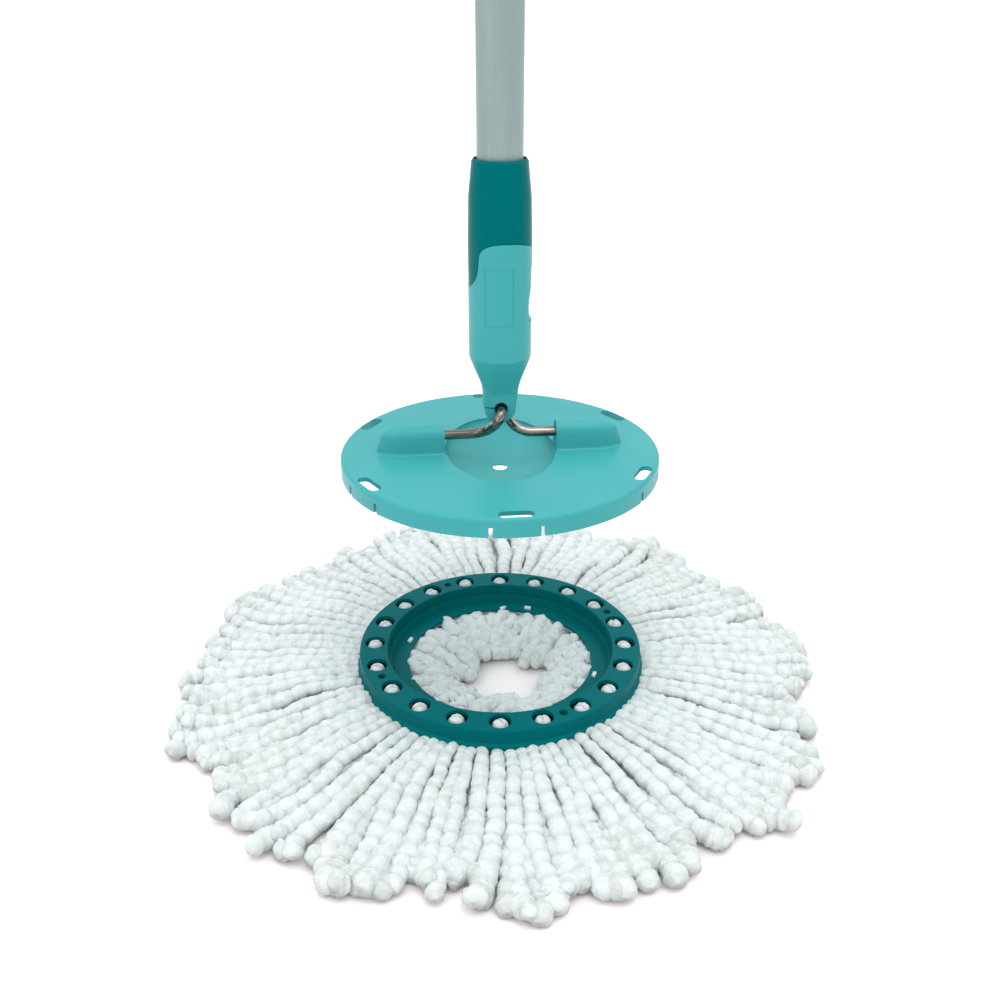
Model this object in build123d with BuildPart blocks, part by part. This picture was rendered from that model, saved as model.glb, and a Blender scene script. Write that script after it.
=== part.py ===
from build123d import *
import os
from math import cos, pi, radians, sin

# A spin mop standing on the floor: a pump handle over a lower pole, a click-on joint,
# a wire-hung disc and, released below it, the yarn head lying on the floor.
# Millimetres. +Z is up along the handle, X runs along the two wire bosses on the disc,
# and the origin is on the floor under the middle of the head.

os.makedirs("parts", exist_ok=True)

# ---- driving dimensions -------------------------------------------------------------
gap = 0.3  # side gap between neighbouring bodies
running = 0.06  # radial clearance of a pin or shaft in its hole

disc_r = 80.0  # standard head plate
disc_skirt = 9.4
disc_wall = 2.2
head_drop = 117.7  # from the plate's top down to the released ring's top
ring_top = 22.0
disc_top = ring_top + head_drop

ring_r = 77.3
ring_flare_r = 78.9
ring_rim_in_r = 62.0
ring_open_r = 50.8
ring_depth = 12.0
rim_thick = 2.2
knob_count = 20
knob_circle_r = 69.3
knob_hole_r = 5.6
yarn_r = 178.0
yarn_in_r = 17.0

wire_r = 2.4
leg_z = disc_top + 7.8
leg_end_x = 55.0
boss_in_x = 28.0
boss_out_x = 62.0
boss_r = 5.9
eye_z = disc_top + 22.9
wire_eye_z = disc_top + 22.5
eye_r = 3.1

shell_r = 15.0
collar_top = disc_top + 140.3
stem_r = 10.9
seat_z = disc_top + 99.0

lower_tube_r = 10.5
tube_wall = 0.9
lower_tube_top = 960.0
upper_tube_r = 12.5
upper_tube_low = 640.0
upper_tube_top = 1262.0
spindle_lead = 125.0  # one turn of the head for this much pump travel
spindle_low = 938.0
spindle_top = 1242.0
spindle_w = 8.0
spindle_t = 2.5
cap_top = 1300.0
hang_hole_r = 4.0


def save(body, name):
    """Label one finished sub-part and write it as its own STEP."""
    body.part.label = name
    export_step(body.part, f"parts/{name}.step")


# ---- upper handle (held by its hang hole) -------------------------------------------
upper_bore_r = upper_tube_r - tube_wall
cap_plug = 18.0
hang_hole_z = cap_top - 13.0

with BuildPart() as hang_cap:
    with BuildSketch(Plane.XY.offset(upper_tube_top)):
        Circle(upper_tube_r + 1.0)
    extrude(amount=cap_top - upper_tube_top)
    top_rim = hang_cap.faces().sort_by(Axis.Z)[-1].edges()
    fillet(top_rim, radius=9.0)
    with BuildSketch(Plane.XY.offset(upper_tube_top - cap_plug)):
        Circle(upper_bore_r - 0.05)
    extrude(amount=cap_plug)
    with BuildSketch(Plane.XZ):
        with Locations((0, hang_hole_z)):
            Circle(hang_hole_r)
    extrude(amount=upper_tube_r + 2, both=True, mode=Mode.SUBTRACT)
save(hang_cap, "hang_cap")

with BuildPart() as upper_tube:
    with BuildSketch(Plane.XY.offset(upper_tube_low)):
        Circle(upper_tube_r)
        Circle(upper_bore_r, mode=Mode.SUBTRACT)
    extrude(amount=upper_tube_top - upper_tube_low)
    with BuildSketch(Plane.YZ):
        with Locations((0, spindle_top - 8.0)):
            Circle(1.5)
    extrude(amount=upper_tube_r + 1, both=True, mode=Mode.SUBTRACT)
save(upper_tube, "upper_tube")

grip_low = 1060.0
grip_top = 1225.0
grip_wall = 3.2
with BuildPart() as hand_grip:
    with BuildSketch(Plane.XY.offset(grip_low)):
        Circle(upper_tube_r + grip_wall)
    extrude(amount=grip_top - grip_low)
    fillet(hand_grip.edges().filter_by(GeomType.CIRCLE), radius=2.0)
    with BuildSketch(Plane.XZ) as grooves:
        with Locations(*[(0, grip_low + 15 + 9.0 * i) for i in range(16)]):
            Rectangle(2 * (upper_tube_r + grip_wall) + 1, 2.4)
        Rectangle(2 * (upper_tube_r + grip_wall - 0.9), 2 * cap_top, mode=Mode.SUBTRACT)
        with Locations((-50, cap_top / 2)):
            Rectangle(100, 2 * cap_top, mode=Mode.SUBTRACT)
    revolve(axis=Axis.Z, mode=Mode.SUBTRACT)
    with BuildSketch(Plane.XY.offset(grip_low)):
        Circle(upper_tube_r + 0.02)
    extrude(amount=grip_top - grip_low, mode=Mode.SUBTRACT)
save(hand_grip, "hand_grip")

head_h = 12.0
anchor_low = spindle_top - 18.0
anchor_top = upper_tube_top - cap_plug - 0.5
with BuildPart() as spindle_anchor:
    with BuildSketch(Plane.XY.offset(anchor_low)):
        Circle(upper_bore_r - 0.05)
    extrude(amount=anchor_top - anchor_low)
    with BuildSketch(Plane.XY.offset(anchor_low)):
        Rectangle(spindle_w + 2.0, spindle_t + 2.0)
    extrude(amount=spindle_top - anchor_low + 0.2, mode=Mode.SUBTRACT)
    with BuildSketch(Plane.XY.offset(anchor_low)):
        Circle(spindle_w / 2 + 1.0)
    extrude(amount=spindle_top - head_h - anchor_low, mode=Mode.SUBTRACT)
    with BuildSketch(Plane.YZ):
        with Locations((0, spindle_top - 8.0)):
            Circle(1.5)
    extrude(amount=upper_tube_r, both=True, mode=Mode.SUBTRACT)
save(spindle_anchor, "spindle_anchor")

spindle_turn = 360.0 * (spindle_top - head_h - spindle_low) / spindle_lead
nut_z = lower_tube_top + 4.0
spindle_start = -360.0 * (nut_z + 1.5 - spindle_low) / spindle_lead
with BuildPart() as twist_spindle:
    bar = Plane(origin=(0, 0, spindle_low), x_dir=(cos(radians(spindle_start)), sin(radians(spindle_start)), 0))
    with BuildSketch(bar) as bar_section:
        Rectangle(spindle_w, spindle_t)
    add(
        Solid.extrude_linear_with_rotation(
            bar_section.sketch.face(),
            (0, 0, spindle_low),
            (0, 0, spindle_top - head_h - spindle_low),
            spindle_turn,
        )
    )
    with BuildSketch(Plane.XY.offset(spindle_top - head_h)):
        Rectangle(spindle_w + 1.6, spindle_t + 1.6)
    extrude(amount=head_h)
    with BuildSketch(Plane.YZ):
        with Locations((0, spindle_top - 8.0)):
            Circle(1.3)
    extrude(amount=spindle_w, both=True, mode=Mode.SUBTRACT)
save(twist_spindle, "twist_spindle")

with BuildPart() as anchor_pin:
    with BuildSketch(Plane.YZ.offset(-upper_tube_r + 0.3)):
        with Locations((0, spindle_top - 8.0)):
            Circle(1.25)
    extrude(amount=2 * upper_tube_r - 0.6)
save(anchor_pin, "anchor_pin")

# collet: split guide at the mouth of the upper tube, with the lower pole running in it
collet_low = 612.0
with BuildPart() as guide_collet:
    with BuildSketch(Plane.XY.offset(collet_low)):
        Circle(upper_tube_r + 1.6)
    extrude(amount=upper_tube_low - collet_low)
    with BuildSketch(Plane.XY.offset(upper_tube_low)):
        Circle(upper_bore_r - 0.05)
    extrude(amount=22)
    with BuildSketch(Plane.XY.offset(collet_low)):
        Circle(lower_tube_r + 0.1)
    extrude(amount=60, mode=Mode.SUBTRACT)
    with BuildSketch(Plane.XY.offset(collet_low)):
        with PolarLocations(0, 4):
            Rectangle(40, 1.4)
    extrude(amount=20, mode=Mode.SUBTRACT)
save(guide_collet, "guide_collet")

# twist lock: a ring over the collet, turned by hand to grip the lower pole
lock_low = 606.0
lock_top = 662.0
with BuildPart() as lock_collar:
    with BuildSketch(Plane.XZ):
        with BuildLine():
            Polyline(
                (lower_tube_r + 0.5, lock_low),
                (15.6, lock_low),
                (18.6, lock_low + 7),
                (18.6, lock_low + 34),
                (15.0, lock_top),
                (upper_tube_r + gap, lock_top),
                (upper_tube_r + gap, upper_tube_low + 1),
                (upper_tube_r + 1.9, upper_tube_low + 1),
                (upper_tube_r + 1.9, collet_low - 1.2),
                (lower_tube_r + 0.5, collet_low - 1.2),
                close=True,
            )
        make_face()
    revolve(axis=Axis.Z)
    with BuildSketch(Plane.XY.offset(lock_low + 8)):
        with PolarLocations(19.4, 16):
            Circle(1.5)
    extrude(amount=25, mode=Mode.SUBTRACT)
save(lock_collar, "lock_collar")

# ---- slider at the top of the lower pole --------------------------------------------
bush_low = lower_tube_top - 42.0
bush_top = lower_tube_top - 8.0
with BuildPart() as slide_bush:
    with BuildSketch(Plane.XY.offset(bush_low)):
        Circle(upper_bore_r - 0.12)
        Circle(lower_tube_r + running, mode=Mode.SUBTRACT)
    extrude(amount=bush_top - bush_low)
save(slide_bush, "slide_bush")

with BuildPart() as thrust_washer:
    with BuildSketch(Plane.XY.offset(bush_top)):
        Circle(upper_bore_r - 0.2)
        Circle(lower_tube_r + running, mode=Mode.SUBTRACT)
    extrude(amount=1.2)
save(thrust_washer, "thrust_washer")

# ---- lower pole, which turns as the handle is pumped --------------------------------
with BuildPart() as lower_tube:
    with BuildSketch(Plane.XY.offset(seat_z + 1.2)):
        Circle(lower_tube_r)
        Circle(lower_tube_r - tube_wall, mode=Mode.SUBTRACT)
    extrude(amount=lower_tube_top - seat_z - 1.2)
    with BuildSketch(Plane.XY.offset(bush_low - 2.4)):
        Circle(lower_tube_r + 1)
        Circle(lower_tube_r - 0.4, mode=Mode.SUBTRACT)
    extrude(amount=1.4, mode=Mode.SUBTRACT)
save(lower_tube, "lower_tube")

with BuildPart() as retaining_ring:
    with BuildSketch(Plane.XY.offset(bush_low - 2.3)):
        Circle(lower_tube_r + 0.7)
        Circle(lower_tube_r - 0.35, mode=Mode.SUBTRACT)
        with Locations((0, lower_tube_r)):
            Rectangle(4.0, 4.0, mode=Mode.SUBTRACT)
    extrude(amount=1.2)
save(retaining_ring, "retaining_ring")

housing_top = nut_z + 7.0
with BuildPart() as clutch_housing:
    with BuildSketch(Plane.XZ):
        with BuildLine():
            Polyline(
                (lower_tube_r - tube_wall - 0.05, lower_tube_top - 16),
                (lower_tube_r - tube_wall - 0.05, lower_tube_top),
                (lower_tube_r + 0.8, lower_tube_top),
                (lower_tube_r + 0.8, housing_top),
                (5.2, housing_top),
                (5.2, nut_z + 3.2),
                (8.4, nut_z + 3.2),
                (8.4, nut_z - 0.1),
                (5.2, nut_z - 0.1),
                (5.2, lower_tube_top - 16),
                close=True,
            )
        make_face()
    revolve(axis=Axis.Z)
save(clutch_housing, "clutch_housing")

with BuildPart() as drive_nut:
    with BuildSketch(Plane.XY.offset(nut_z)):
        Circle(8.3)
        Rectangle(spindle_w + 0.7, spindle_t + 1.1, mode=Mode.SUBTRACT)
    extrude(amount=3.0)
save(drive_nut, "drive_nut")


def wave_cutter(lift):
    """A tall block above the wavy joint line between the shell and the collar."""
    with BuildPart() as block:
        with BuildSketch(Plane.XZ.offset(-30)):
            with BuildLine():
                wave = [
                    (-16.5, 80.6),
                    (-14.3, 83.8),
                    (-11.7, 89.2),
                    (-10.8, 95.5),
                    (-9.4, 101.4),
                    (-5.0, 104.0),
                    (1.0, 104.6),
                    (8.0, 104.1),
                    (16.5, 100.2),
                ]
                line = Spline(*[(x, disc_top + z + lift) for x, z in wave])
                Polyline(line @ 1, (16.5, collar_top + 30), (-16.5, collar_top + 30), line @ 0)
            make_face()
        extrude(amount=60)
    return block.part


with BuildPart() as click_collar:
    with BuildSketch(Plane.XZ):
        with BuildLine():
            Polyline(
                (0, disc_top + 80),
                (shell_r - 0.1, disc_top + 80),
                (shell_r - 0.1, disc_top + 104),
                (14.45, disc_top + 124),
                (13.4, disc_top + 134),
                (12.9, collar_top - 1.2),
                (12.1, collar_top),
                (0, collar_top),
                close=True,
            )
        make_face()
    revolve(axis=Axis.Z)
    add(wave_cutter(0.25), mode=Mode.INTERSECT)
    with BuildSketch(Plane.XY.offset(disc_top + 70)):
        Circle(stem_r + 0.15)
    extrude(amount=seat_z - disc_top - 70 + 1.0, mode=Mode.SUBTRACT)
    with BuildSketch(Plane.XY.offset(disc_top + 70)):
        Circle(8.6)
    extrude(amount=80, mode=Mode.SUBTRACT)
    with BuildSketch(Plane.XY.offset(seat_z + 1.0)):
        Circle(lower_tube_r + 0.05)
    extrude(amount=60, mode=Mode.SUBTRACT)
    with BuildSketch(Plane.XY.offset(collar_top)):
        Circle(12.0)
    extrude(amount=-4.0, taper=19, mode=Mode.SUBTRACT)
save(click_collar, "click_collar")

# socket shell with its tongue, the eye for the wire and the pocket for the button
button_low = disc_top + 66.8
button_high = disc_top + 92.2
button_half = 7.9
pocket_in_x = 3.6
shell_low = disc_top + 49.0
tongue_top = disc_top + 30.0
tongue_half = 6.4
tongue_r = 7.7
tongue_shift = -0.4

with BuildPart() as tongue:
    with BuildSketch(Plane.XZ.offset(-tongue_half)):
        with Locations((tongue_shift, eye_z)):
            Circle(tongue_r)
        with BuildLine():
            Polyline(
                (tongue_shift - tongue_r, eye_z),
                (tongue_shift + tongue_r, eye_z),
                (8.5, tongue_top + 3),
                (-8.7, tongue_top + 3),
                close=True,
            )
        make_face()
    extrude(amount=2 * tongue_half)
    fillet(tongue.faces().filter_by(Axis.Y).edges().group_by(Axis.Z)[:-1], radius=1.5)

# a faint sunk panel on the front of the shell
panel_depth = 0.2
with BuildPart() as panel:
    with BuildSketch(Plane.XY.offset(disc_top + 66.5)):
        Circle(shell_r + 1)
        Circle(shell_r - panel_depth, mode=Mode.SUBTRACT)
    extrude(amount=27.0)
    with BuildSketch(Plane.XZ):
        with Locations((-1.6, disc_top + 80)):
            Rectangle(13.2, 27.0)
    extrude(amount=shell_r + 2, mode=Mode.INTERSECT)

with BuildPart() as joint_socket:
    with BuildSketch(Plane.XY.offset(shell_low)):
        Circle(shell_r)
    extrude(amount=60)
    add(wave_cutter(0.0), mode=Mode.SUBTRACT)
    with BuildSketch(Plane.XY.offset(disc_top + 80)):
        Circle(stem_r)
    extrude(amount=seat_z - disc_top - 80 - 0.2)
    with BuildSketch(Plane.XY.offset(seat_z - 0.2)):
        Circle(stem_r + 0.15)
    extrude(amount=40, mode=Mode.SUBTRACT)
    with BuildSketch(Plane.XY.offset(shell_low)):
        Circle(shell_r)
    with BuildSketch(Plane.XY.offset(disc_top + 42.5)):
        RectangleRounded(25.0, 23.2, 10.5)
    with BuildSketch(Plane.XY.offset(disc_top + 37.5)):
        RectangleRounded(20.6, 18.2, 7.0)
    with BuildSketch(Plane.XY.offset(tongue_top)):
        RectangleRounded(16.8, 2 * tongue_half, 1.6)
    loft()
    add(tongue.part)
    with BuildSketch(Plane.XZ.offset(-12)):
        with Locations((0, eye_z)):
            Circle(eye_r)
        with Locations((-5.5, eye_z + 0.8)):
            Rectangle(7.5, 0.6, rotation=-8)
    extrude(amount=24, mode=Mode.SUBTRACT)
    for side in (-1, 1):
        with BuildSketch(Plane.XZ.offset(side * (tongue_half + 0.05))):
            with Locations((0, eye_z)):
                Circle(eye_r + 0.55)
        extrude(amount=-side * 0.55, taper=44, mode=Mode.SUBTRACT)
    with BuildSketch(Plane.XY.offset(disc_top + 56)):
        Circle(8.5)
    extrude(amount=60, mode=Mode.SUBTRACT)
    with BuildSketch(Plane.XY.offset(button_low)):
        with Locations(((pocket_in_x + shell_r + 1) / 2, 0)):
            Rectangle(shell_r + 1 - pocket_in_x, 2 * button_half)
    extrude(amount=button_high - button_low, mode=Mode.SUBTRACT)
    add(panel.part, mode=Mode.SUBTRACT)
save(joint_socket, "joint_socket")

# release button: thumb face leaning into the shell, with a latch nose at its top
with BuildPart() as release_button:
    with BuildSketch(Plane.XZ.offset(-(button_half - gap))):
        with BuildLine():
            thumb = Spline(
                (14.6, button_low + gap),
                (12.9, button_low + 5.5),
                (13.5, button_low + 12.0),
                (14.7, button_high - gap),
            )
            Polyline(thumb @ 1, (6.2, button_high - gap), (6.2, button_low + gap), thumb @ 0)
        make_face()
    extrude(amount=2 * (button_half - gap))
    with BuildSketch(Plane.XY.offset(button_low)):
        Circle(shell_r - 0.25)
    extrude(amount=button_high - button_low, mode=Mode.INTERSECT)
save(release_button, "release_button")

# the button's return spring: a bent leaf between the button and the shell's far wall
with BuildPart() as button_spring:
    leaf_z = (button_low + button_high) / 2
    with BuildSketch(Plane.XZ.offset(-2.5)):
        with BuildLine():
            Spline(
                (5.9, leaf_z + 8),
                (0.5, leaf_z + 4),
                (-7.8, leaf_z),
                (0.5, leaf_z - 4),
                (5.9, leaf_z - 8),
            )
            Line((5.9, leaf_z - 8), (5.9, leaf_z - 7.2))
            Spline(
                (5.9, leaf_z - 7.2),
                (0.6, leaf_z - 3.2),
                (-7.0, leaf_z),
                (0.6, leaf_z + 3.2),
                (5.9, leaf_z + 7.2),
            )
            Line((5.9, leaf_z + 7.2), (5.9, leaf_z + 8))
        make_face()
    extrude(amount=5.0)
save(button_spring, "button_spring")

# ---- wire bail: one bent rod, a leg in each boss and its middle through the eye -----
leg_bend_x = 8.0
leg_bend_r = 12.0
lobe_r = 4.2
lobe_y = 18.0
with BuildPart() as wire_bail:
    with BuildLine() as wire_path:
        FilletPolyline(
            (-leg_end_x, 0, leg_z),
            (-leg_bend_x, 0, leg_z),
            (0, -lobe_y, wire_eye_z),
            (0, lobe_y, wire_eye_z),
            (leg_bend_x, 0, leg_z),
            (leg_end_x, 0, leg_z),
            radius=[leg_bend_r, lobe_r, lobe_r, leg_bend_r],
        )
    with BuildSketch(Plane(origin=wire_path.line @ 0, z_dir=wire_path.line % 0)):
        Circle(wire_r)
    sweep()
save(wire_bail, "wire_bail")

# ---- disc ---------------------------------------------------------------------------
dish_x = 27.5
dish_y = 41.0
dish_depth = 11.0
drain_r = 3.7
slot_count = 6
slot_circle_r = 75.2
rib_r = 58.5


def bowl(grow):
    """The dish as half an ellipsoid below the plate's top, grown outwards by grow."""
    with BuildPart() as half:
        Sphere(1.0, arc_size1=-90, arc_size2=0, align=(Align.CENTER, Align.CENTER, Align.MAX))
        scale(by=(dish_x + grow, dish_y + grow, dish_depth + grow))
    return half.part.moved(Location((0, 0, disc_top)))


boss_foot = 6.9  # half the boss's width where it meets the plate
boss_fillet = 1.5
boss_round = 48.0  # from here its outer end is a dome
with BuildSketch() as boss_outline:
    with Locations((0, leg_z)):
        Circle(boss_r)
    with Locations((0, disc_top - 0.75)):
        Rectangle(2 * boss_foot, 1.5)
    make_hull()
with BuildPart() as boss_dome:
    with BuildSketch(Plane.XZ):
        add(boss_outline.sketch)
        with Locations((-boss_r * 2, leg_z)):
            Rectangle(boss_r * 4, boss_r * 6, mode=Mode.SUBTRACT)
    revolve(axis=Axis.Z)
    scale(by=((boss_out_x - boss_round) / boss_foot, 1, 1))
    split(bisect_by=Plane.YZ)
with BuildPart() as boss:
    with BuildSketch(Plane.YZ.offset(boss_in_x)):
        add(boss_outline.sketch)
    extrude(amount=boss_round - boss_in_x)
    add(boss_dome.part.moved(Location((boss_round, 0, 0))))

with BuildPart() as mop_disc:
    with BuildSketch(Plane.XY.offset(disc_top - disc_skirt)):
        Circle(disc_r)
    extrude(amount=disc_skirt)
    fillet(mop_disc.faces().sort_by(Axis.Z)[-1].edges(), radius=2.1)
    with BuildSketch(Plane.XY.offset(disc_top - disc_skirt)):
        Circle(disc_r - disc_wall + 0.2)
    extrude(amount=disc_skirt - disc_wall, mode=Mode.SUBTRACT)
    with BuildSketch(Plane.XY.offset(disc_top - disc_wall)):
        Circle(rib_r)
        Circle(rib_r - 1.8, mode=Mode.SUBTRACT)
        with PolarLocations((rib_r + 44) / 2, 8, start_angle=22.5):
            Rectangle(rib_r - 46, 1.6)
    extrude(amount=-5.0)
    add(bowl(1.5))
    add(bowl(0.0), mode=Mode.SUBTRACT)
    add(boss.part)
    add(boss.part.mirror(Plane.YZ))
    on_plate = mop_disc.edges().filter_by_position(Axis.Z, disc_top - 0.01, disc_top + 0.01)
    fillet([edge for edge in on_plate if boss_in_x < abs(edge.center().X) < boss_out_x + 1], radius=boss_fillet)
    with BuildSketch(Plane.XY.offset(disc_top - 20)):
        Circle(drain_r)
    extrude(amount=20, mode=Mode.SUBTRACT)
    with Locations((0, 0, disc_top - dish_depth - 1.0)):
        Cone(bottom_radius=drain_r + 1.8, top_radius=drain_r + 0.1, height=1.6, mode=Mode.SUBTRACT)
    with BuildSketch(Plane.XY.offset(disc_top - disc_wall - 0.2)):
        with PolarLocations(slot_circle_r, slot_count, start_angle=-90):
            SlotOverall(16.5, 6.0, rotation=90)
    extrude(amount=disc_wall + 1, mode=Mode.SUBTRACT)
    with BuildSketch(Plane.XY.offset(disc_top - disc_skirt)):
        for tab in range(slot_count):
            for side in (-8.45, 8.45):
                angle = -90 + tab * 60 + side
                with Locations(Location((disc_r * cos(radians(angle)), disc_r * sin(radians(angle)), 0), angle)):
                    Rectangle(8.0, 2.0)
    extrude(amount=disc_skirt - 4.5, mode=Mode.SUBTRACT)
    for side in (-1, 1):
        with BuildSketch(Plane.YZ.offset(side * (boss_in_x - 1))):
            with Locations((0, leg_z)):
                Circle(wire_r + running)
        extrude(amount=side * (leg_end_x - boss_in_x + 2), mode=Mode.SUBTRACT)
    with BuildSketch(Plane.XY.offset(disc_top - disc_skirt)):
        for tab in range(slot_count):
            angle = -90 + tab * 60
            with Locations(Location((77.9 * cos(radians(angle)), 77.9 * sin(radians(angle)), 0), angle)):
                Rectangle(0.8, 14.0)
    extrude(amount=1.2)
save(mop_disc, "mop_disc")

# ---- released yarn head -------------------------------------------------------------
ring_turn = -5.5
floor_z = ring_top - 10.0
with BuildPart() as mop_ring:
    with BuildSketch(Plane.XZ):
        with BuildLine():
            Polyline(
                (ring_open_r, floor_z),
                (ring_rim_in_r - 3.2, floor_z),
                (ring_rim_in_r - 1.6, ring_top - 5.5),
                (ring_rim_in_r - 0.3, ring_top - 5.5),
                (ring_rim_in_r, ring_top),
                (ring_r, ring_top),
                (ring_r + 0.2, ring_top - 7.5),
                (ring_flare_r, ring_top - 9.0),
                (ring_flare_r, ring_top - ring_depth),
                (ring_flare_r - 2.0, ring_top - ring_depth),
                (ring_r - 2.0, ring_top - rim_thick),
                (ring_rim_in_r + 2.0, ring_top - rim_thick),
                (ring_rim_in_r - 1.0, floor_z - 1.8),
                (ring_open_r, floor_z - 1.8),
                close=True,
            )
        make_face()
    revolve(axis=Axis.Z)
    fillet(mop_ring.edges().filter_by_position(Axis.Z, ring_top - 0.01, ring_top + 0.01), radius=0.7)
    flare_z = ring_top - 9.0
    fillet(mop_ring.edges().filter_by_position(Axis.Z, flare_z - 0.01, flare_z + 0.01), radius=0.5)
    with BuildSketch(Plane.XY.offset(ring_top)):
        with PolarLocations(knob_circle_r, knob_count, start_angle=90 + ring_turn):
            Circle(knob_hole_r)
        with PolarLocations(70.0, 4, start_angle=27 + ring_turn):
            Circle(2.2)
    extrude(amount=-(rim_thick + 0.3), mode=Mode.SUBTRACT)
    with BuildSketch(Plane.XY.offset(floor_z + 1)):
        with PolarLocations(54.0, 4, start_angle=72 + ring_turn):
            Rectangle(2.6, 4.4)
    extrude(amount=-8.0, mode=Mode.SUBTRACT)
save(mop_ring, "mop_ring")

clamp_top = ring_top - ring_depth - 0.2
clamp_low = clamp_top - 2.0
with BuildPart() as ring_clamp:
    with BuildSketch(Plane.XY.offset(clamp_low)):
        Circle(76.0)
        Circle(52.4, mode=Mode.SUBTRACT)
    extrude(amount=clamp_top - clamp_low)
    with BuildSketch(Plane.XY.offset(clamp_low)):
        with PolarLocations(54.0, 4, start_angle=72 + ring_turn):
            Rectangle(2.0, 3.8)
    extrude(amount=floor_z + 1.0 - clamp_low)
    with BuildSketch(Plane.XY.offset(clamp_low)):
        with PolarLocations(70.0, 4, start_angle=27 + ring_turn):
            Circle(1.9)
    extrude(amount=ring_top - 2.0 - clamp_low)
save(ring_clamp, "ring_clamp")

with BuildPart() as yarn_knobs:
    with BuildSketch(Plane.XY.offset(clamp_top + 0.2)):
        with PolarLocations(knob_circle_r, knob_count, start_angle=90 + ring_turn):
            Circle(4.8)
    extrude(amount=ring_top + 0.2 - clamp_top - 0.2)
    fillet(yarn_knobs.faces().filter_by(Axis.Z).group_by(Axis.Z)[-1].edges(), radius=3.0)
save(yarn_knobs, "yarn_knobs")

bundle_angle = 360.0 / knob_count
for index in range(knob_count):
    with BuildPart() as bundle:
        middle = 90 + ring_turn + index * bundle_angle
        start = middle - bundle_angle / 2 + 0.15
        section = Plane(
            origin=(0, 0, 0),
            x_dir=(cos(radians(start)), sin(radians(start)), 0),
            z_dir=(sin(radians(start)), -cos(radians(start)), 0),
        )
        with BuildSketch(section):
            with BuildLine():
                Polyline(
                    (yarn_in_r, 0),
                    (yarn_r, 0),
                    (yarn_r, 6.0),
                    (yarn_r - 14, 11.0),
                    (110, 16.0),
                    (83, 16.0),
                    (83, clamp_low - 0.2),
                    (50.5, clamp_low - 0.2),
                    (46, 10.5),
                    (yarn_in_r + 12, 9.0),
                    (yarn_in_r, 3.0),
                    close=True,
                )
            make_face()
        revolve(axis=Axis.Z, revolution_arc=bundle_angle - 0.3)
    save(bundle, f"yarn_bundle_{index + 1:02d}")
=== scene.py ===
from math import cos, pi, radians, sin

import bmesh
import bpy
import numpy as np
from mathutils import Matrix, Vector


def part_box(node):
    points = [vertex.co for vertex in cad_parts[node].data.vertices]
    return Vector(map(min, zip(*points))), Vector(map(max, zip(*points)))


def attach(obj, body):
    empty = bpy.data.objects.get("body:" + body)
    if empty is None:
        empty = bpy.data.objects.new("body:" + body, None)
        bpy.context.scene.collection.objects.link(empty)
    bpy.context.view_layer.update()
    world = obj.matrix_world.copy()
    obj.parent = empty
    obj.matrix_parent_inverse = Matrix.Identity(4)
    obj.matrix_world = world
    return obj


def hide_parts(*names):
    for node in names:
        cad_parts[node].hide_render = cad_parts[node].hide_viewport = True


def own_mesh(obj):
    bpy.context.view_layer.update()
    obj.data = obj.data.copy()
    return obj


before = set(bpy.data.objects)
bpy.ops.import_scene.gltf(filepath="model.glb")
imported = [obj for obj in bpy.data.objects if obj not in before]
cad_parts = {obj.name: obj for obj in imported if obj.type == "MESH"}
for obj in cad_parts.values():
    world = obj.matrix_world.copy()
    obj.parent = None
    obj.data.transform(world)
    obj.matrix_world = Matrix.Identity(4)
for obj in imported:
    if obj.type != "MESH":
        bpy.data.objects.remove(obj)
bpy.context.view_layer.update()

bpy.ops.object.select_all(action="DESELECT")

# ---- Studio -----------------------------------------------------------------------------
# A white paper floor with an even white surround, a large softbox overhead and a weaker
# one at the front left. The camera stands in front of the mop, looking down at 26 degrees.
ring_high = Vector(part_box("mop_ring")[1])

camera_turn = radians(-5.5)
camera_reach = 0.4824
camera_lift = ring_high.z + 0.3239
camera_pitch = radians(26.06)
camera_data = bpy.data.cameras.new("camera")
camera_data.sensor_width = 36.0
camera_data.lens = 37.31
camera = bpy.data.objects.new("camera", camera_data)
camera.location = (camera_reach * sin(camera_turn), -camera_reach * cos(camera_turn), camera_lift)
camera.rotation_euler = (pi / 2 - camera_pitch, 0, camera_turn)
bpy.context.scene.collection.objects.link(camera)
bpy.context.scene.camera = camera
bpy.context.scene.view_settings.view_transform = "Standard"

# The surround is brighter overhead than at the horizon, which gives the gloss something to
# show, and the lens itself sees plain white paper.
world = bpy.data.worlds.new("surround")
world.use_nodes = True
sky = world.node_tree
height = sky.nodes.new("ShaderNodeSeparateXYZ")
sky.links.new(sky.nodes.new("ShaderNodeTexCoord").outputs["Generated"], height.inputs["Vector"])
overhead = sky.nodes.new("ShaderNodeMapRange")
for label, number in (("From Min", 0.0), ("From Max", 0.85), ("To Min", 0.36), ("To Max", 1.6)):
    overhead.inputs[label].default_value = number
sky.links.new(height.outputs["Z"], overhead.inputs["Value"])
seen = sky.nodes.new("ShaderNodeMix")
sky.links.new(sky.nodes.new("ShaderNodeLightPath").outputs["Is Camera Ray"], seen.inputs["Factor"])
sky.links.new(overhead.outputs["Result"], seen.inputs[2])
seen.inputs[3].default_value = 1.2
sky.links.new(seen.outputs[0], sky.nodes["Background"].inputs["Strength"])
sky.nodes["Background"].inputs["Color"].default_value = (1.0, 1.0, 1.0, 1.0)
bpy.context.scene.world = world


def softbox(name, place, aim, side, watts):
    """A square area light at place, turned to face aim."""
    light = bpy.data.lights.new(name, "AREA")
    light.size = side
    light.energy = watts
    lamp = bpy.data.objects.new(name, light)
    lamp.location = place
    lamp.rotation_euler = (Vector(aim) - Vector(place)).to_track_quat("-Z", "Y").to_euler()
    bpy.context.scene.collection.objects.link(lamp)


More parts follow.
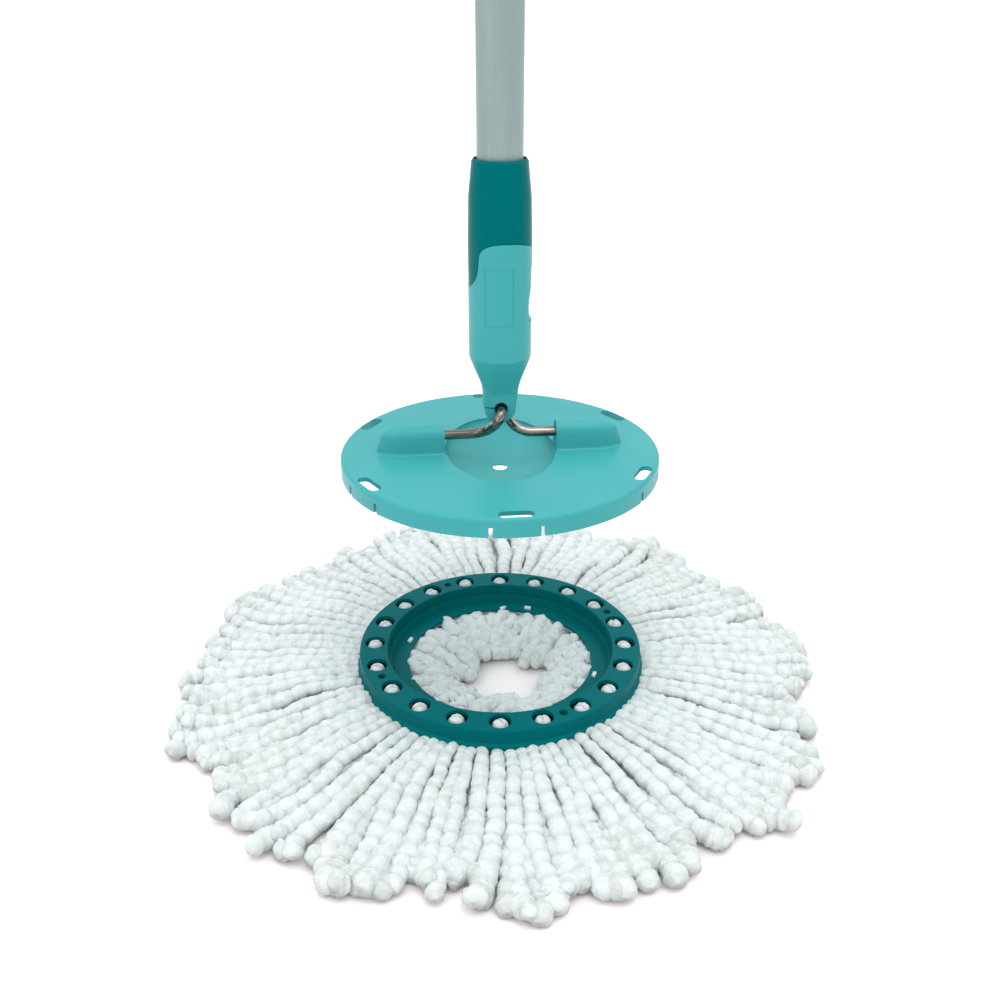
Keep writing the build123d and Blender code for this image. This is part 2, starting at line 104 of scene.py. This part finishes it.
softbox("top_softbox", (0.25, -0.5, 1.9), (0, 0, 0.1), 1.0, 8)
softbox("side_softbox", (-1.3, -1.1, 0.9), (0, 0, 0.15), 0.7, 4)

bpy.ops.mesh.primitive_plane_add(size=60.0, location=(0, 0, -0.0003))
floor = bpy.context.object
floor.name = "floor"
bpy.ops.object.select_all(action="DESELECT")

paper = bpy.data.materials.new("floor_paper")
paper.use_nodes = True
paper_nodes = paper.node_tree.nodes
paper_shader = paper_nodes["Principled BSDF"]
paper_shader.inputs["Roughness"].default_value = 0.9
paper_shader.inputs["Base Color"].default_value = (0.96, 0.905, 0.9, 1.0)
floor.data.materials.append(paper)

# ---- Poles --------------------------------------------------------------------------------
# Two steel tubes with a pale grey-green powder coat, one sliding in the other: even colour,
# a fine satin texture and a few faint rubbed streaks where the slider and the hands run.


def noise(tree, vector, scale, detail=3.0):
    """A noise texture on vector, features about 1/scale metres across."""
    node = tree.nodes.new("ShaderNodeTexNoise")
    node.inputs["Scale"].default_value = scale
    node.inputs["Detail"].default_value = detail
    tree.links.new(vector, node.inputs["Vector"])
    return node.outputs["Fac"]


def remap(tree, value, low, high, to_low, to_high):
    """value from low..high to to_low..to_high, clamped."""
    node = tree.nodes.new("ShaderNodeMapRange")
    for label, number in zip(("From Min", "From Max", "To Min", "To Max"), (low, high, to_low, to_high)):
        node.inputs[label].default_value = number
    tree.links.new(value, node.inputs["Value"])
    return node.outputs["Result"]


def mix_colour(tree, factor, first, second, blend="MIX"):
    """A colour mix; first and second are sockets or colours."""
    node = tree.nodes.new("ShaderNodeMix")
    node.data_type = "RGBA"
    node.blend_type = blend
    for source, socket in ((factor, node.inputs[0]), (first, node.inputs[6]), (second, node.inputs[7])):
        if isinstance(source, bpy.types.NodeSocket):
            tree.links.new(source, socket)
        else:
            socket.default_value = source
    return node.outputs[2]


def bump(tree, height, strength, distance):
    """A bump normal from a height socket."""
    node = tree.nodes.new("ShaderNodeBump")
    node.inputs["Strength"].default_value = strength
    node.inputs["Distance"].default_value = distance
    tree.links.new(height, node.inputs["Height"])
    return node.outputs["Normal"]


def object_place(tree, stretch=(1.0, 1.0, 1.0)):
    """Object coordinates, stretched along the axes whose factor is below 1."""
    place = tree.nodes.new("ShaderNodeTexCoord").outputs["Object"]
    if stretch == (1.0, 1.0, 1.0):
        return place
    mapping = tree.nodes.new("ShaderNodeMapping")
    mapping.inputs["Scale"].default_value = stretch
    tree.links.new(place, mapping.inputs["Vector"])
    return mapping.outputs["Vector"]


def finish_nodes(nodes, material):
    """Gives CAD nodes one material."""
    for node in nodes:
        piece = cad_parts[node]
        piece.data.materials.clear()
        piece.data.materials.append(material)


coat = bpy.data.materials.new("powder_coat")
coat.use_nodes = True
coat_tree = coat.node_tree
coat_shader = coat_tree.nodes["Principled BSDF"]
rubbed = noise(coat_tree, object_place(coat_tree, (1.0, 1.0, 0.06)), 260.0, 4.0)
streak = remap(coat_tree, rubbed, 0.4, 0.75, 0.0, 1.0)
coat_colour = mix_colour(coat_tree, streak, (0.222, 0.304, 0.300, 1.0), (0.26, 0.345, 0.343, 1.0))
coat_tree.links.new(coat_colour, coat_shader.inputs["Base Color"])
coat_tree.links.new(remap(coat_tree, streak, 0.0, 1.0, 0.40, 0.33), coat_shader.inputs["Roughness"])
coat_grain = noise(coat_tree, object_place(coat_tree), 1500.0, 2.0)
coat_tree.links.new(bump(coat_tree, coat_grain, 0.1, 0.0001), coat_shader.inputs["Normal"])
finish_nodes(("lower_tube", "upper_tube"), coat)

# ---- Wire, spindle and small springs --------------------------------------------------------
# Drawn steel, bent cold: dark and bright bands of painted reflection drawn out along the rod, and fine
# scratches.
# The twisted spindle, its pin, the retaining ring and the washer are of the same stock.
steel = bpy.data.materials.new("drawn_steel")
steel.use_nodes = True
steel_tree = steel.node_tree
steel_shader = steel_tree.nodes["Principled BSDF"]
steel_shader.inputs["Metallic"].default_value = 1.0
# These bands are painted reflection: the dark colour stands in for a dark surround mirrored along the rod. The
# same mask also varies the roughness.
reflection_bands = noise(steel_tree, object_place(steel_tree, (0.12, 1.0, 1.0)), 420.0, 4.0)
dark_reflection = remap(steel_tree, reflection_bands, 0.38, 0.62, 0.0, 1.0)
steel_colour = mix_colour(steel_tree, dark_reflection, (0.30, 0.27, 0.24, 1.0), (0.115, 0.10, 0.088, 1.0))
steel_tree.links.new(steel_colour, steel_shader.inputs["Base Color"])
steel_tree.links.new(remap(steel_tree, dark_reflection, 0.0, 1.0, 0.16, 0.32), steel_shader.inputs["Roughness"])
scratches = noise(steel_tree, object_place(steel_tree), 1200.0, 3.0)
steel_tree.links.new(bump(steel_tree, scratches, 0.12, 0.0001), steel_shader.inputs["Normal"])
steel_nodes = ("wire_bail", "twist_spindle", "anchor_pin", "retaining_ring", "button_spring", "thrust_washer")
finish_nodes(steel_nodes, steel)
# The leaf spring is held at the shell's far wall and shortens by the button's travel.
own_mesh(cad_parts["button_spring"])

# ---- Drive nut --------------------------------------------------------------------------------
# A slotted plate of stamped brass, which the spindle turns. It has the steel's bands of painted reflection.
brass = steel.copy()
brass.name = "stamped_brass"
brass_reflection_mix = [node for node in brass.node_tree.nodes if node.bl_idname == "ShaderNodeMix"][0]
# The two colours of the painted reflection bands, in brass.
brass_reflection_mix.inputs[6].default_value = (0.78, 0.58, 0.28, 1.0)
brass_reflection_mix.inputs[7].default_value = (0.6, 0.42, 0.2, 1.0)
finish_nodes(("drive_nut",), brass)

# ---- Dark teal mouldings ------------------------------------------------------------------------
# The end cap, lock collar, click collar and the head's ring, injection-moulded in one colour.
# Every moulding has the same skin: faint orange-peel, slow changes of tone, uneven gloss.
moulded = bpy.data.node_groups.new("moulded_skin", "ShaderNodeTree")
for label, kind, value in (
    ("Colour", "NodeSocketColor", (0.5, 0.5, 0.5, 1.0)),
    ("Gloss", "NodeSocketFloat", 0.3),
    ("Grain", "NodeSocketFloat", 1.0),
):
    moulded.interface.new_socket(name=label, in_out="INPUT", socket_type=kind).default_value = value
for label, kind in (
    ("Colour", "NodeSocketColor"),
    ("Roughness", "NodeSocketFloat"),
    ("Normal", "NodeSocketVector"),
):
    moulded.interface.new_socket(name=label, in_out="OUTPUT", socket_type=kind)
entry = moulded.nodes.new("NodeGroupInput")
leave = moulded.nodes.new("NodeGroupOutput")
skin_place = object_place(moulded)
tone = remap(moulded, noise(moulded, skin_place, 18.0, 4.0), 0.35, 0.65, 0.0, 1.0)
darker = mix_colour(moulded, 1.0, entry.outputs["Colour"], (0.9, 0.94, 0.95, 1.0), "MULTIPLY")
moulded.links.new(mix_colour(moulded, tone, darker, entry.outputs["Colour"]), leave.inputs["Colour"])
smear = moulded.nodes.new("ShaderNodeMath")
smear.operation = "MULTIPLY_ADD"
moulded.links.new(remap(moulded, noise(moulded, skin_place, 55.0, 5.0), 0.3, 0.7, -0.05, 0.08), smear.inputs[0])
smear.inputs[1].default_value = 1.0
moulded.links.new(entry.outputs["Gloss"], smear.inputs[2])
moulded.links.new(smear.outputs[0], leave.inputs["Roughness"])
peel = moulded.nodes.new("ShaderNodeMath")
peel.operation = "MULTIPLY"
moulded.links.new(noise(moulded, skin_place, 900.0, 2.0), peel.inputs[0])
moulded.links.new(entry.outputs["Grain"], peel.inputs[1])
moulded.links.new(bump(moulded, peel.outputs[0], 0.12, 0.0002), leave.inputs["Normal"])


def moulded_plastic(name, colour, gloss, grain=1.0, shine=0.3, tint=(1.0, 1.0, 1.0)):
    """A moulded plastic in one colour, with the shared skin, its specular level and its tint."""
    material = bpy.data.materials.new(name)
    material.use_nodes = True
    tree = material.node_tree
    skin = tree.nodes.new("ShaderNodeGroup")
    skin.node_tree = moulded
    skin.inputs["Colour"].default_value = (*colour, 1.0)
    skin.inputs["Gloss"].default_value = gloss
    skin.inputs["Grain"].default_value = grain
    shader = tree.nodes["Principled BSDF"]
    tree.links.new(skin.outputs["Colour"], shader.inputs["Base Color"])
    tree.links.new(skin.outputs["Roughness"], shader.inputs["Roughness"])
    tree.links.new(skin.outputs["Normal"], shader.inputs["Normal"])
    shader.inputs["Specular IOR Level"].default_value = shine
    shader.inputs["Specular Tint"].default_value = (*tint, 1.0)
    return material


dark_teal = moulded_plastic("dark_teal_plastic", (0.0, 0.128, 0.138), 0.3, shine=0.06, tint=(0.1, 1.0, 1.0))
finish_nodes(("hang_cap", "lock_collar", "click_collar", "mop_ring"), dark_teal)

# ---- Turquoise mouldings --------------------------------------------------------------------------
# The joint's shell with its thumb button, and the disc that the wire carries, in a tough
# plastic a little lighter than the ring's.
turquoise = moulded_plastic("turquoise_plastic", (0.044, 0.350, 0.362), 0.33, shine=0.2)
finish_nodes(("joint_socket", "release_button", "mop_disc"), turquoise)

# ---- Slides and bushes inside the handle ----------------------------------------------------------
# Undyed acetal, which runs dry on the steel: the spindle's anchor, the collet, the bush that
# carries the turning pole, and the drive nut's holder.
acetal = moulded_plastic("natural_acetal", (0.78, 0.77, 0.72), 0.45)
finish_nodes(("spindle_anchor", "guide_collet", "slide_bush", "clutch_housing"), acetal)

# ---- Hand grip --------------------------------------------------------------------------------------
# A ribbed sleeve of soft dark rubber, pushed on to the upper tube, dull and coarser to touch.
soft_grip = moulded_plastic("soft_grip_rubber", (0.01, 0.13, 0.14), 0.62, 2.5)
finish_nodes(("hand_grip",), soft_grip)

# ---- Ring clamp -------------------------------------------------------------------------------------
# The plate that traps the yarn under the ring. It is white where its claws show in the
# ring's four slots, and painted dark with shade towards its rim, where its pins fill the small holes.
clamp_white_to = 0.062
clamp_shade_from = 0.064
clamp_plastic = moulded_plastic("clamp_plastic", (0.74, 0.76, 0.75), 0.4)
clamp_tree = clamp_plastic.node_tree
flatten = clamp_tree.nodes.new("ShaderNodeVectorMath")
flatten.operation = "MULTIPLY"
flatten.inputs[1].default_value = (1.0, 1.0, 0.0)
clamp_tree.links.new(object_place(clamp_tree), flatten.inputs[0])
from_axis = clamp_tree.nodes.new("ShaderNodeVectorMath")
from_axis.operation = "LENGTH"
clamp_tree.links.new(flatten.outputs["Vector"], from_axis.inputs[0])
# Painted shade: beyond the second radius the clamp turns near black, for the shade that falls under the ring
# and the yarn.
rim_shade = remap(clamp_tree, from_axis.outputs["Value"], clamp_white_to, clamp_shade_from, 0.0, 1.0)
clamp_skin = [node for node in clamp_tree.nodes if node.bl_idname == "ShaderNodeGroup"][0]
white_and_shade = mix_colour(clamp_tree, rim_shade, clamp_skin.outputs["Colour"], (0.0, 0.03, 0.033, 1.0))
clamp_tree.links.new(white_and_shade, clamp_tree.nodes["Principled BSDF"].inputs["Base Color"])
finish_nodes(("ring_clamp",), clamp_plastic)

# ---- Yarn -------------------------------------------------------------------------------------
# White microfibre chenille: soft beads of cut pile on a thin core. The pile is a fine fuzz
# that catches light at its edges, and painted grey-green shade darkens it down between the strands.
yarn = bpy.data.materials.new("chenille_yarn")
yarn.use_nodes = True
yarn_tree = yarn.node_tree
yarn_place = object_place(yarn_tree)
painted_pile_shade = yarn_tree.nodes.new("ShaderNodeAttribute")
painted_pile_shade.attribute_name = "painted_pile_shade"
pile_tone = remap(yarn_tree, noise(yarn_tree, yarn_place, 330.0, 5.0), 0.3, 0.7, 0.0, 1.0)
crest = mix_colour(yarn_tree, pile_tone, (0.60, 0.655, 0.655, 1.0), (0.77, 0.81, 0.815, 1.0))
cloud = remap(yarn_tree, noise(yarn_tree, yarn_place, 24.0, 3.0), 0.4, 0.65, 0.0, 1.0)
crest = mix_colour(yarn_tree, cloud, crest, (0.74, 0.79, 0.80, 1.0))
# Painted shade: the colour darkens to grey-green with the per-point shade attribute, in the pinches, on the
# strands' undersides, in the lower layers and in the knobs' folds and holes.
yarn_colour = mix_colour(yarn_tree, painted_pile_shade.outputs["Fac"], crest, (0.27, 0.31, 0.285, 1.0))
yarn_shader = yarn_tree.nodes["Principled BSDF"]
yarn_tree.links.new(yarn_colour, yarn_shader.inputs["Base Color"])
yarn_shader.inputs["Roughness"].default_value = 1.0
yarn_shader.inputs["Specular IOR Level"].default_value = 0.1
yarn_shader.inputs["Sheen Weight"].default_value = 0.25
yarn_shader.inputs["Sheen Roughness"].default_value = 0.6
yarn_shader.inputs["Subsurface Weight"].default_value = 0.15
yarn_shader.inputs["Subsurface Radius"].default_value = (0.002, 0.002, 0.002)
fine_pile = noise(yarn_tree, yarn_place, 1500.0, 3.0)
coarse_pile = noise(yarn_tree, yarn_place, 500.0, 3.0)
pile = mix_colour(yarn_tree, 0.5, fine_pile, coarse_pile)
yarn_tree.links.new(bump(yarn_tree, pile, 1.0, 0.0012), yarn_shader.inputs["Normal"])

rng = np.random.default_rng(20)
strand_sides = 18
ring_spacing = 0.0009
bead_short, bead_long = 0.0060, 0.0115
tip_length = 0.0075
floor_gap = 0.0006


def smooth_noise(value, seed):
    """A slow random curve through value, about -1 to 1, one wave for each unit."""
    waves = np.random.default_rng(seed)
    total = np.zeros_like(np.asarray(value, dtype=float))
    for step in range(4):
        rate = (0.7, 1.3, 2.1, 3.4)[step]
        total += np.sin(np.asarray(value) * rate * 2 * pi + waves.uniform(0, 2 * pi)) / (1 + step)
    return total / 1.6


def strand(path, thick, shade, fray):
    """One chenille strand along path, closed at both ends.

    The pile swells and pinches in beads of uneven length. thick is the strand's radius at
    each point of path, shade darkens it, and fray is how far its last bead opens out.
    Returns points, faces and each point's level of painted shade.
    """
    steps = np.linalg.norm(np.diff(path, axis=0), axis=1)
    along = np.concatenate([[0], np.cumsum(steps)])
    length = along[-1]
    count = int(length / ring_spacing) + 2
    at = np.linspace(0, length, count)
    centre = np.stack([np.interp(at, along, path[:, k]) for k in range(3)], axis=1)
    radius = np.interp(at, along, thick)
    beads = rng.uniform(bead_short, bead_long, int(length / bead_short) + 3)
    pinches = np.cumsum(beads) - rng.uniform(0, 0.008)
    bead = np.clip(np.searchsorted(pinches, at), 1, len(pinches) - 1)
    through = (at - pinches[bead - 1]) / (pinches[bead] - pinches[bead - 1])
    swell = np.clip(np.sin(pi * np.clip(through, 0, 1)), 0, 1) ** 0.55
    depth_of = rng.uniform(0.10, 0.25, len(pinches))[bead]
    size = rng.uniform(0.92, 1.1, len(pinches))
    radius = radius * (1 - depth_of * (1 - swell)) * np.interp(at, pinches, size)
    shift = rng.normal(0, 0.00045, (len(pinches), 3))
    centre += np.stack([np.interp(at, pinches, shift[:, k]) for k in range(3)], axis=1)
    left = (length - at) / tip_length
    radius *= 1 + fray * np.exp(-((left - 0.9) / 0.8) ** 2)
    radius *= np.sqrt(np.clip(1 - np.clip(1 - left / 0.55, 0, 1) ** 2, 0.02, 1))
    radius[0] *= 0.4
    ahead = np.gradient(centre, axis=0)
    ahead /= np.maximum(np.linalg.norm(ahead, axis=1, keepdims=True), 1e-9)
    side = np.cross(ahead, (0, 0, 1.0))
    side /= np.maximum(np.linalg.norm(side, axis=1, keepdims=True), 1e-6)
    upper = np.cross(side, ahead)
    turn = np.arange(strand_sides) * 2 * pi / strand_sides
    tuft = rng.normal(0, 1, (count, strand_sides))
    tuft = 0.6 * tuft + 0.25 * (np.roll(tuft, 1, axis=1) + np.roll(tuft, -1, axis=1))
    rough = 0.055 + 0.06 * np.exp(-left)
    lump = 1 + rough[:, None] * tuft
    start_turn = rng.uniform(0, 6)
    lump += 0.07 * np.sin(2 * turn + start_turn + 5 * smooth_noise(at / 0.02, rng.integers(1, 99))[:, None])
    reach = radius[:, None] * lump
    points = (
        centre[:, None, :]
        + (reach * np.cos(turn))[:, :, None] * side[:, None, :]
        + (reach * np.sin(turn) * 0.92)[:, :, None] * upper[:, None, :]
    )
    points[:, :, 2] = np.maximum(points[:, :, 2], floor_gap + rng.uniform(0, 0.0004, points.shape[:2]))
    points = points.reshape(-1, 3)
    # Painted shade: the pinches and the strand's underside are darkened, lumps that stand out are lightened,
    # and shade is added on top.
    underside_shade = 0.5 * (1 - np.sin(turn)) ** 1.6
    shade_level = shade + 0.30 * (1 - swell)[:, None] + 0.42 * underside_shade[None, :] - 0.05 * tuft
    shade_level = np.clip(shade_level, 0, 1).reshape(-1)
    faces = []
    for ring in range(count - 1):
        for k in range(strand_sides):
            a = ring * strand_sides + k
            b = ring * strand_sides + (k + 1) % strand_sides
            faces.append((a, b, b + strand_sides, a + strand_sides))
    faces.append(tuple(range(strand_sides))[::-1])
    last = (count - 1) * strand_sides
    faces.append(tuple(range(last, last + strand_sides)))
    return points, faces, shade_level


def yarn_piece(name, strands):
    """One mesh object from several strands."""
    points, faces, shade_level = [], [], []
    base = 0
    for strand_points, strand_faces, strand_shade_level in strands:
        points.append(strand_points)
        shade_level.append(strand_shade_level)
        faces.extend([tuple(i + base for i in face) for face in strand_faces])
        base += len(strand_points)
    mesh = bpy.data.meshes.new(name)
    mesh.from_pydata(np.concatenate(points).tolist(), [], faces)
    shading = mesh.attributes.new("painted_pile_shade", "FLOAT", "POINT")
    shading.data.foreach_set("value", np.concatenate(shade_level).astype(np.float32))
    mesh.polygons.foreach_set("use_smooth", [True] * len(mesh.polygons))
    mesh.materials.append(yarn)
    tidy = bmesh.new()
    tidy.from_mesh(mesh)
    bmesh.ops.recalc_face_normals(tidy, faces=tidy.faces)
    tidy.to_mesh(mesh)
    tidy.free()
    piece = bpy.data.objects.new(name, mesh)
    bpy.context.scene.collection.objects.link(piece)
    return piece


# ---- Outer strands ------------------------------------------------------------------------------
# Each of the ring's twenty holes feeds one bundle. Its strands leave under the ring's lower
# edge piled two deep, spread as they run out, and lie side by side on the floor at their ends.
bundle_count = 20
bundle_step = 2 * pi / bundle_count
head_turn = radians(90 - 5.5)
strand_start = 0.0715
tip_r = 0.1715
tip_limit = 0.1855
yarn_thick = 0.0047
start_height = 0.0055
low_height = 0.0052
top_height = 0.0110


def outer_strand(azimuth, tier):
    """One strand from under the ring to its tip. tier is 1 for the upper layer, 0 for the lower."""
    tip = tip_r + 0.0075 * smooth_noise(azimuth * 1.9, 5) + rng.normal(0, 0.0036)
    tip = min(tip - rng.uniform(0, 0.009) * (1 - tier), tip_limit)
    r = np.linspace(strand_start, tip, 40)
    t = (r - r[0]) / (r[-1] - r[0])
    spread = np.clip((r - 0.084) / 0.085, 0, 1)
    drift = 0.0055 * spread * smooth_noise(azimuth * 1.6 + r * 5.0, 9)
    own = 0.0011 * spread * smooth_noise(r * 26.0 + rng.uniform(0, 9), rng.integers(1, 99))
    hook = rng.choice((-1, 1)) * rng.gamma(1.4, 0.0022) * np.clip((t - 0.86) / 0.14, 0, 1) ** 2
    angle = azimuth + (drift + own + hook) / r
    climb = np.clip((r - strand_start) / 0.0098, 0, 1)
    climb = climb * climb * (3 - 2 * climb)
    settle = np.clip((r - 0.098) / 0.055, 0, 1)
    settle = settle * settle * (3 - 2 * settle)
    crest_z = (top_height if tier else low_height) + rng.normal(0, 0.0005)
    z = start_height + (crest_z - start_height) * climb
    z = z + ((0.0049 if tier else 0.0034) - z) * settle
    z = z + 0.0009 * smooth_noise(r * 20.0 + rng.uniform(0, 9), rng.integers(1, 99)) * spread
    z = z + abs(rng.normal(0, 0.0022)) * np.clip((t - 0.9) / 0.1, 0, 1)
    narrow = 0.70 + 0.24 * np.clip((r - 0.080) / 0.045, 0, 1) + 0.12 * np.clip((r - 0.13) / 0.04, 0, 1)
    thick = yarn_thick * narrow * rng.uniform(0.92, 1.08)
    path = np.stack([r * np.cos(angle), r * np.sin(angle), z], axis=1)
    # The lower layer carries 0.16 of painted shade.
    return strand(path, thick, 0.0 if tier else 0.16, rng.uniform(0.0, 0.22))


for index in range(bundle_count):
    middle = head_turn + index * bundle_step
    strands = []
    for tier, number in ((0, 5), (1, 4 + index % 2)):
        for k in range(number):
            azimuth = middle + ((k + 0.25 + 0.5 * tier) / number - 0.5) * bundle_step + rng.normal(0, 0.005)
            strands.append(outer_strand(azimuth, tier))
    piece = yarn_piece(f"strands_{index + 1:02d}", strands)
    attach(piece, "head")
    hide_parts(f"yarn_bundle_{index + 1:02d}")

# ---- Inner tufts --------------------------------------------------------------------------------
# The other ends of the bundles run inwards under the ring's floor in three layers, and leave
# a small ragged gap of bare floor a little behind the middle.
gap_middle = Vector((0.002, -0.0085))
gap_half = (0.0200, 0.0180)


def inner_strand(azimuth, start, reach, height, shade):
    """One strand from under the ring inwards. reach is how much of the way to the gap it goes."""
    ragged = 1 + 0.22 * smooth_noise(azimuth * 0.8, 12) + rng.normal(0, 0.10)
    edge = np.array(gap_middle) + ragged * np.array([gap_half[0] * cos(azimuth), gap_half[1] * sin(azimuth)])
    outer = start * np.array([cos(azimuth), sin(azimuth)])
    t = np.linspace(0, 1, 24)
    end = outer + (edge - outer) * reach
    flat = outer + (end - outer) * t[:, None]
    across = np.array([-sin(azimuth), cos(azimuth)])
    sway = 0.0030 * smooth_noise(azimuth * 0.9 + t * 0.8, 31)
    sway = sway + 0.0009 * smooth_noise(t * 2.5 + rng.uniform(0, 9), 7)
    flat = flat + (sway * np.sin(pi * np.clip(t, 0, 0.6)))[:, None] * across
    z = height + 0.0016 * np.sin(pi * np.clip(t * 1.15, 0, 1))
    z = z + 0.0006 * smooth_noise(t * 3 + rng.uniform(0, 9), 11)
    z = z + (0.0036 - z) * np.clip((t - 0.8) / 0.2, 0, 1) * (reach > 0.9)
    path = np.column_stack([flat, z])
    return strand(path, 0.0042 * (1 - 0.12 * t), shade, 0.12)


inner = []
# The last column is painted shade: the lowest layer darkest, the upper layers lighter.
for count, start, low_reach, high_reach, height, shade in (
    (30, 0.0600, 0.92, 1.0, 0.0038, 0.0),
    (28, 0.0560, 0.72, 1.0, 0.0056, -0.16),
    (26, 0.0540, 0.45, 0.85, 0.0072, -0.26),
):
    for k in range(count):
        azimuth = (k + rng.uniform(-0.25, 0.25)) * 2 * pi / count
        inner.append(inner_strand(azimuth, start, rng.uniform(low_reach, high_reach), height, shade))
inner_tufts = yarn_piece("inner_tufts", inner)
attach(inner_tufts, "head")

# ---- Knobs ----------------------------------------------------------------------------------------
# Where a bundle passes over the clamp it bulges up through its hole as a soft tuft with a
# fold across it. The tufts sink into their holes when the disc is clicked on.
knob_circle = 0.0693
knob_half = 0.0044
knob_top = ring_high.z + 0.0006
knob_sink = 0.0048
knobs = []
bpy.ops.object.select_all(action="DESELECT")
for index in range(bundle_count):
    azimuth = head_turn + index * bundle_step
    lean = rng.normal(0, 0.0004, 2)
    middle = np.array([knob_circle * cos(azimuth), knob_circle * sin(azimuth), knob_top - knob_sink])
    middle[:2] += lean
    bpy.ops.mesh.primitive_uv_sphere_add(segments=28, ring_count=20, radius=knob_half)
    tuft = bpy.context.object
    tuft.select_set(False)
    away = np.array([v.co for v in tuft.data.vertices])
    fold = rng.uniform(0, pi)
    line = (away[:, 0] * cos(fold) + away[:, 1] * sin(fold) - rng.uniform(-0.001, 0.001)) / 0.0007
    crease = np.exp(-(line ** 2)) * np.clip(away[:, 2] / knob_half, 0, 1)
    away *= 1 + rng.normal(0, 0.03, (len(away), 1)) - 0.16 * crease[:, None]
    away[:, 2] *= np.where(away[:, 2] > 0, 1.08, 1.5)
    for vertex, place_at in zip(tuft.data.vertices, middle + away):
        vertex.co = place_at
    # Painted shade: the fold across each tuft and the part sunk below the ring's top are darkened.
    shading = tuft.data.attributes.new("painted_pile_shade", "FLOAT", "POINT")
    sunk_shade = np.clip((knob_top - 0.0016 - middle[2] - away[:, 2]) / 0.003, 0, 1)
    shading.data.foreach_set("value", np.clip(0.5 * crease + sunk_shade, 0, 1).astype(np.float32))
    tuft.data.polygons.foreach_set("use_smooth", [True] * len(tuft.data.polygons))
    tuft.data.materials.append(yarn)
    knobs.append(tuft)
for tuft in knobs:
    tuft.select_set(True)
bpy.context.view_layer.objects.active = knobs[0]
bpy.ops.object.join()
knob_tufts = bpy.context.object
knob_tufts.name = "knob_tufts"
bpy.ops.object.select_all(action="DESELECT")
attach(knob_tufts, "head")
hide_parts("yarn_knobs")
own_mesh(knob_tufts)
